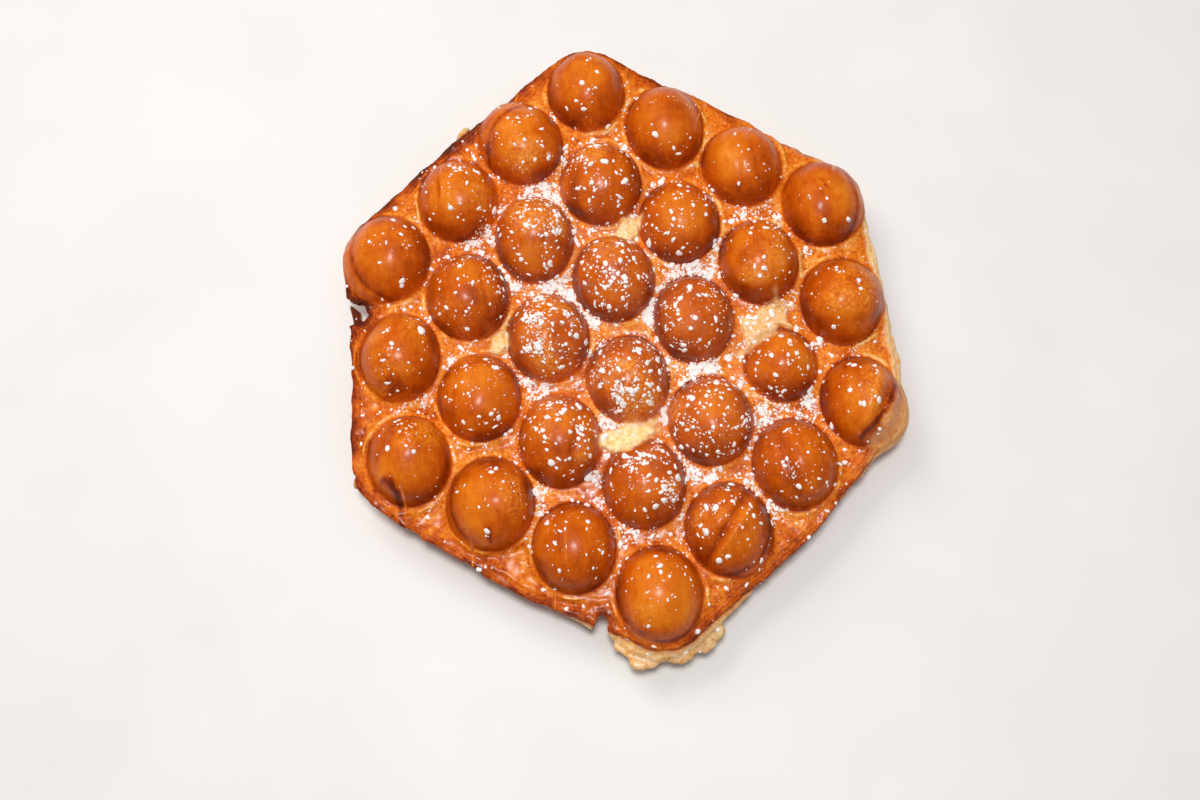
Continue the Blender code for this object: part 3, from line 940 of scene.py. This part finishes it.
class Graph:
    """Builds a node material: each call adds one node and returns its first output."""

    def __init__(self, name):
        self.material = bpy.data.materials.new(name)
        self.material.use_nodes = True
        self.tree = self.material.node_tree
        self.shader = self.tree.nodes["Principled BSDF"]

    def node(self, kind, inputs=(), **settings):
        node = self.tree.nodes.new(kind)
        for key, value in settings.items():
            setattr(node, key, value)
        for key, value in dict(inputs).items():
            self.put(node.inputs[key], value)
        return node

    def put(self, socket, value):
        if isinstance(value, bpy.types.NodeSocket):
            self.tree.links.new(value, socket)
        else:
            socket.default_value = value

    def value(self, name):
        return self.node("ShaderNodeAttribute", attribute_name=name).outputs["Fac"]

    def surface(self, values):
        """Gives the shader its values, each by the name of its socket."""
        for name, value in values.items():
            self.put(self.shader.inputs[name], value)
        return self.material

    def places(self, stretch):
        """Coordinates in millimetres, stretched along the axes."""
        source = self.node("ShaderNodeTexCoord").outputs["Object"]
        scale = tuple(s / MM for s in stretch)
        return self.node("ShaderNodeMapping", {"Vector": source, "Scale": scale}).outputs[0]

    def noise(self, size, detail, stretch=(1.0, 1.0, 1.0)):
        """Noise from 0 to 1 with bumps of about a size in millimetres."""
        inputs = {"Vector": self.places(stretch), "Scale": 1.0 / size, "Detail": detail}
        inputs["Roughness"] = NOISE_ROUGHNESS
        return self.node("ShaderNodeTexNoise", inputs).outputs[0]

    def math(self, operation, one, other=0.0):
        return self.node("ShaderNodeMath", {0: one, 1: other}, operation=operation).outputs[0]

    def times(self, total, *factors):
        for factor in factors:
            total = self.math("MULTIPLY", total, factor)
        return total

    def inverse(self, share):
        return self.math("SUBTRACT", 1.0, share)

    def ramp(self, factor, stops):
        """A colour for a factor, between stops that each have a place and a screen colour."""
        node = self.node("ShaderNodeValToRGB", {"Fac": factor})
        elements = node.color_ramp.elements
        while len(elements) < len(stops):
            elements.new(1.0)
        for element, (place, tone) in zip(elements, stops):
            element.position = place
            element.color = colour(*tone)
        return node.outputs[0]

    def between(self, factor, low, high):
        """Maps a range of a factor onto 0 to 1, with a soft start and end."""
        inputs = {"Value": factor, "From Min": low, "From Max": high}
        node = self.node("ShaderNodeMapRange", inputs, interpolation_type="SMOOTHSTEP")
        return node.outputs[0]

    def centred(self, factor):
        return self.math("SUBTRACT", factor, 0.5)

    def band(self, value, middle, half_width):
        """1 where a value is near its middle and 0 from the half width on."""
        away = self.math("ABSOLUTE", self.math("SUBTRACT", value, middle))
        return self.inverse(self.between(away, 0.0, half_width))

    def weighted_sum(self, *terms):
        """The sum of terms, each given after its weight."""
        total = 0.0
        for weight, term in terms:
            inputs = {0: term, 1: weight, 2: total}
            total = self.node("ShaderNodeMath", inputs, operation="MULTIPLY_ADD").outputs[0]
        return total

    def mix(self, factor, one, other):
        node = self.node("ShaderNodeMix", {0: factor, 6: one, 7: other}, data_type="RGBA")
        return node.outputs[2]

    def bumps(self, *terms):
        """The normal, bent by heights that each follow their depth in millimetres and their strength."""
        inputs = {}
        for depth, strength, height in terms:
            inputs |= {"Height": height, "Distance": depth * MM, "Strength": strength}
            inputs["Normal"] = self.node("ShaderNodeBump", inputs).outputs[0]
        return inputs["Normal"]


def colour(red, green, blue):
    """A colour given as it shows on a screen, 0 to 255, as the linear values that a shader takes."""
    linear = [((c / 255 + 0.055) / 1.055) ** 2.4 if c > 10 else c / 255 / 12.92 for c in (red, green, blue)]
    return (*linear, 1.0)


def crust_material():
    graph = Graph("baked_crust")
    foot = graph.value("foot")
    edge = graph.value("edge")
    pale = graph.value("pale")
    dust = graph.value("dust")
    web = graph.between(foot, *WEB_FADE)
    streaks = graph.noise(*STREAKS)
    blotches = graph.noise(*BLOTCHES)
    grain = graph.noise(*GRAIN)
    wander = graph.times(graph.noise(*LAYER_NOISE), LAYER_WANDER)
    layers = graph.math("SINE", graph.math("ADD", graph.times(edge, LAYERS_PER_MM), wander))
    rim = graph.times(graph.between(edge, *RIM_FADE), graph.value("band"))
    rim_web = graph.times(rim, web)
    rim_layers = graph.times(layers, rim_web)
    grainy = graph.times(web, graph.inverse(graph.times(rim, RIM_SMOOTHING)))
    line = graph.times(graph.band(edge, *LINE_BAND), graph.between(foot, *LINE_FOOT))
    line = graph.times(line, graph.value("line"), graph.between(blotches, *LINE_BLOTCHES))
    collar = graph.times(graph.band(graph.value("ring"), *COLLAR_BAND), graph.value("collar"), web)
    collar = graph.times(collar, graph.between(blotches, *COLLAR_BLOTCHES))
    # Browning, with painted shade at the eggs' feet and in the seams of their second shells
    bake_and_shade = graph.weighted_sum(
        (1.0, graph.value("bake_and_shade")),
        (0.15, graph.centred(streaks)),
        (0.16, graph.centred(graph.noise(*BROAD_STREAKS))),
        (0.16, graph.centred(graph.noise(*FINE_STREAKS))),
        (0.22, graph.centred(graph.noise(*MOTTLING))),
        (0.30, graph.centred(blotches)),
        (0.26, graph.between(graph.noise(*SPECKS), *SPECK_FADE)),
        (0.85, graph.times(graph.centred(grain), grainy)),
        (0.34, rim_web),
        (0.09, rim_layers),
        (0.45, line),
        (-0.5, collar),
        # Painted shade in the seam where a second shell meets its egg
        (0.12, graph.inverse(graph.between(graph.value("crease"), *SEAM_SHADE_FADE))),
        # Painted shade at the eggs' feet: darker within a band of distance from the eggs' surfaces
        (0.10, graph.band(foot, *FOOT_SHADE_BAND)),
    )
    pores = graph.noise(*PORES)
    cream = graph.mix(graph.value("tongue"), graph.ramp(pores, CREAM_TONES), graph.ramp(pores, TONGUE_TONES))
    tone = graph.mix(pale, graph.ramp(bake_and_shade, BAKE_TONES), cream)
    film = graph.weighted_sum(
        (1.0, graph.between(dust, *DUST_EVERYWHERE)),
        (0.7, graph.times(graph.between(dust, *DUST_IN_VALLEYS), web)),
    )
    film = graph.times(film, graph.between(graph.noise(*FILM_NOISE), *FILM_PATCHES), FILM_STRENGTH)
    tone = graph.mix(film, tone, colour(*FILM_COLOUR))
    cover = graph.weighted_sum((1.0, graph.noise(*POWDER_NOISE)), (0.12, dust), (0.36, graph.value("heaps")))
    powder = graph.between(cover, *POWDER_FADE)
    tone = graph.mix(graph.times(powder, POWDER_STRENGTH), tone, colour(*POWDER_COLOUR))
    dull = graph.weighted_sum((0.16, web), (0.2, pale), (0.3, powder), (0.15, grain))
    roughness = graph.math("ADD", dull, SMOOTHEST)
    pits = graph.times(grain, graph.math("ADD", graph.times(web, 1 - EGG_PITS), EGG_PITS))
    normal = graph.bumps(
        (0.45, 0.8, pits),
        (0.2, 0.5, streaks),
        (0.3, 0.8, graph.noise(*PITS)),
        (0.16, 0.8, rim_layers),
        (0.5, 0.8, collar),
        (0.25, 0.8, powder),
    )
    return graph.surface({"Base Color": tone, "Roughness": roughness, "Normal": normal, **CRUST_FINISH})


def make_crust():
    points, faces = crust_surface()
    crust = new_mesh("crust", points, faces)
    for name, values in colour_values(points, point_normals(crust)).items():
        layer = crust.data.attributes.new(name, "FLOAT", "POINT")
        layer.data.foreach_set("value", np.asarray(values, np.float32))
    crust.data.materials.append(crust_material())
    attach(crust, "root")
    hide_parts("waffle")
    return crust, points, faces


def plan_clumps(draw):
    """The places and radii of the solid's sugar clumps, drawn in the same order."""
    corners = corner_eggs()
    places = []
    clumps = []
    for _ in range(SUGAR_TRIES):
        if len(places) == SUGAR_COUNT:
            break
        scatter = np.array((draw.gauss(0, SUGAR_SPREAD), draw.gauss(0, SUGAR_SPREAD)))
        place = SUGAR_MIDDLE + PATTERN_SHIFT[:2] + scatter
        crowded = any(norm(place - other) < SUGAR_SPACING for other in places)
        outside = polygon_distance(place[None, :], np.array(corners))[0] > 0
        if crowded or outside:
            continue
        places.append(place)
        clumps.append(SimpleNamespace(place=place, radius=draw.uniform(*SUGAR_RADII)))
        # The solid also draws each clump's stretch and turns here
        for _ in range(CLUMP_SHAPE_DRAWS):
            draw.random()
    return clumps


def hit_from_above(surface, place):
    """The point and the normal of the crust under a place, both None beside the waffle."""
    return surface.ray_cast(Vector((*place, ABOVE)), Vector((0, 0, -1)))[:2]


def lump_shapes(subdivisions):
    """Lumpy little shapes of about radius one, and the triangles that they share."""
    ball = bmesh.new()
    bmesh.ops.create_icosphere(ball, subdivisions=subdivisions, radius=1.0)
    points = np.array([vert.co for vert in ball.verts])
    triangles = np.array([[vert.index for vert in face.verts] for face in ball.faces])
    ball.free()
    shapes = []
    for number in range(LUMP_KINDS):
        swell = 1 + relief(points + LUMP_NOISE_STEP * number, LUMP_BUMPS)
        shapes.append(points * swell[:, None])
    return np.array(shapes), triangles


def lying_turns(normals, chance):
    """Rotation matrices that lay flakes on the crust, each turned about the crust's normal by chance."""
    sideways = np.cross(normals, chance.normal(size=normals.shape))
    sideways /= norm(sideways, axis=1)[:, None]
    return np.stack((sideways, np.cross(normals, sideways), normals), axis=2)


def scatter_lumps(name, places, normals, radii, subdivisions, chance, material):
    """One joined mesh of lumps at places, in millimetres."""
    shapes, triangles = lump_shapes(subdivisions)
    kind = chance.integers(0, LUMP_KINDS, len(places))
    stretch = chance.uniform(*LUMP_STRETCH, (len(places), 3))[:, None]
    lumps = shapes[kind] * stretch * radii[:, None, None]
    lumps = np.einsum("nij,nvj->nvi", lying_turns(normals, chance), lumps) + places[:, None, :]
    offsets = shapes.shape[1] * np.arange(len(places))
    faces = (triangles[None] + offsets[:, None, None]).reshape(-1, 3)
    obj = new_mesh(name, lumps.reshape(-1, 3), faces)
    obj.data.materials.append(material)
    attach(obj, "root")


def fallen_places(count, density, points, faces, chance):
    """Places on the crust's faces and the normals there, more where the density at the points is higher."""
    corners = points[faces]
    diagonals = np.cross(corners[:, 2] - corners[:, 0], corners[:, 3] - corners[:, 1])
    areas = norm(diagonals, axis=1)
    weight = areas * density[faces].mean(axis=1)
    picked = chance.choice(len(faces), count, p=weight / weight.sum())
    u, v = chance.uniform(0, 1, (2, count, 1))
    near = corners[picked, 0] * (1 - u) + corners[picked, 1] * u
    far = corners[picked, 3] * (1 - u) + corners[picked, 2] * u
    return near * (1 - v) + far * v, diagonals[picked] / areas[picked, None]


def plain_material(name, mottling, tones, finish):
    """A material whose colour varies a little from place to place."""
    graph = Graph(name)
    tone = graph.ramp(graph.noise(*mottling), tones)
    return graph.surface({"Base Color": tone, **finish})


def make_sugar(points, faces, normals, surface):
    """The clumps of the solid and the finer sugar that fell with them, most of it into the valleys."""
    chance = np.random.default_rng(SUGAR_SEED)
    material = plain_material("sugar", SUGAR_NOISE, SUGAR_TONES, SUGAR_FINISH)
    clumps = plan_clumps(DRAW)
    places, upright = np.array([hit_from_above(surface, clump.place) for clump in clumps]).swapaxes(0, 1)
    radii = np.array([clump.radius for clump in clumps])
    scatter_lumps("sugar_clumps", places, upright, radii, CLUMP_SUBDIVISIONS, chance, material)
    solid, _, _ = nearest_eggs(points)
    plan = PLAN(points)
    valleys = fade(*SUGAR_FOOT, solid) * (1 - fade(*SUGAR_RIM, plan.upper_edge))
    valleys *= heap_cover(points, *LUMP_HEAPS)
    fallen = (plan.sugar + SUGAR_EVERYWHERE) * fade(*SUGAR_SLOPES, normals[:, 2])
    fallen *= 1 - SUGAR_OFF_PALE * plan.pale
    fallen *= 1 + relief(points, SUGAR_CLUSTERS).clip(0)
    for name, count, (smallest, largest), valley_share, subdivisions in SUGAR_KINDS:
        density = (fallen * (1 + valley_share * valleys)) ** SUGAR_CONTRAST
        places, upright = fallen_places(count, density, points, faces, chance)
        radii = smallest + (largest - smallest) * chance.power(SUGAR_SMALLER, count)
        scatter_lumps(name, places, upright, radii, subdivisions, chance, material)


def thread_strip(start, end, number, surface):
    """The points and faces of one thread of syrup that lies along the crust and thins out at both ends."""
    start, end = np.array(start), np.array(end)
    length = norm(end - start)
    along = np.linspace(0, 1, round(length / THREAD_STEP))
    sideways = np.array((end[1] - start[1], start[0] - end[0])) / length
    noise_places = np.stack((along * length, np.full(len(along), THREAD_NOISE_STEP * number)), axis=1)
    wander = relief(noise_places, THREAD_WANDER)
    path = start + (end - start) * along[:, None] + sideways * wander[:, None] + PATTERN_SHIFT[:2]
    points = []
    for place, share in zip(path, along):
        hit, normal = hit_from_above(surface, place)
        if hit is None:
            continue
        hit, normal = np.array(hit), np.array(normal)
        across = np.cross((*(end - start), 0.0), normal)
        across /= norm(across)
        swell = sqrt(sin(pi * (THREAD_ENDS + (1 - 2 * THREAD_ENDS) * share)))
        for turn in np.linspace(0, pi, THREAD_SIDES):
            rise = THREAD_HEIGHT * swell * sin(turn) - THREAD_SUNK
            points.append(hit + across * THREAD_HALF_WIDTH * swell * cos(turn) + normal * rise)
    rows = len(points) // THREAD_SIDES
    first = (np.arange(rows - 1)[:, None] * THREAD_SIDES + np.arange(THREAD_SIDES - 1)).ravel()
    faces = np.stack((first, first + 1, first + THREAD_SIDES + 1, first + THREAD_SIDES), axis=1)
    return np.array(points), faces


def make_syrup(surface):
    """The thin threads of syrup that were drizzled to and fro over the waffle."""
    strips = [thread_strip(start, end, i, surface) for i, (start, end) in enumerate(THREADS)]
    points, faces = zip(*strips)
    offsets = np.cumsum([0, *map(len, points[:-1])])
    faces = [strip_faces + offset for strip_faces, offset in zip(faces, offsets)]
    syrup = new_mesh("syrup_threads", np.concatenate(points), np.concatenate(faces))
    syrup.data.materials.append(plain_material("syrup", SYRUP_NOISE, SYRUP_TONES, SYRUP_FINISH))
    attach(syrup, "root")


# The camera, as it was fitted to the eggs' places in the photograph of 1200 by 800 pixels
IMAGE_WIDTH = 1200
FOCAL_PIXELS = 1230.0
SENSOR_WIDTH = 36.0
CAMERA_AZIMUTH = radians(-7.63)
CAMERA_ELEVATION = radians(75.0)
CAMERA_DISTANCE = 400.0
NEAREST_SEEN = 0.01
CAMERA_TARGET = np.array((-10.0, -22.3, 13.2))


def make_camera():
    turn = Euler((pi / 2 - CAMERA_ELEVATION, 0.0, CAMERA_AZIMUTH))
    back = turn.to_matrix() @ Vector((0.0, 0.0, CAMERA_DISTANCE))
    data = bpy.data.cameras.new("camera")
    data.sensor_width = SENSOR_WIDTH
    data.lens = SENSOR_WIDTH * FOCAL_PIXELS / IMAGE_WIDTH
    data.clip_start = NEAREST_SEEN
    camera = bpy.data.objects.new("camera", data)
    camera.location = (Vector(CAMERA_TARGET + PATTERN_SHIFT) + back) * MM
    camera.rotation_euler = turn
    bpy.context.scene.collection.objects.link(camera)
    bpy.context.scene.camera = camera


def area_light(name, place, size, power, tint, mirrored):
    """A square soft light that faces the waffle, with its place and size in metres."""
    data = bpy.data.lights.new(name, "AREA")
    data.size = size
    data.energy = power
    data.color = tint
    light = bpy.data.objects.new(name, data)
    light.location = place
    light.rotation_euler = (-Vector(place)).to_track_quat("-Z", "Y").to_euler()
    light.visible_glossy = mirrored
    bpy.context.scene.collection.objects.link(light)


def make_stage():
    corners = ((-1, -1), (1, -1), (1, 1), (-1, 1))
    points = np.array([(x * TABLE_REACH, y * TABLE_REACH, -TABLE_DROP) for x, y in corners])
    floor = new_mesh("floor", points, np.array(((0, 1, 2, 3),)), smooth=False)
    floor.data.materials.append(plain_material("pale_table", TABLE_NOISE, TABLE_TONES, TABLE_FINISH))
    world = bpy.data.worlds.new("world")
    world.use_nodes = True
    sky = world.node_tree.nodes["Background"].inputs
    sky["Color"].default_value = (1.0, 1.0, 1.0, 1.0)
    sky["Strength"].default_value = SKY_STRENGTH
    bpy.context.scene.world = world
    for light in LIGHTS:
        area_light(*light)
    bpy.context.scene.view_settings.view_transform = "Standard"


make_camera()
make_stage()
CRUST, CRUST_POINTS, CRUST_FACES = make_crust()
CRUST_SURFACE = BVHTree.FromPolygons(CRUST_POINTS.tolist(), CRUST_FACES.tolist())
make_sugar(CRUST_POINTS, CRUST_FACES, point_normals(CRUST), CRUST_SURFACE)
make_syrup(CRUST_SURFACE)
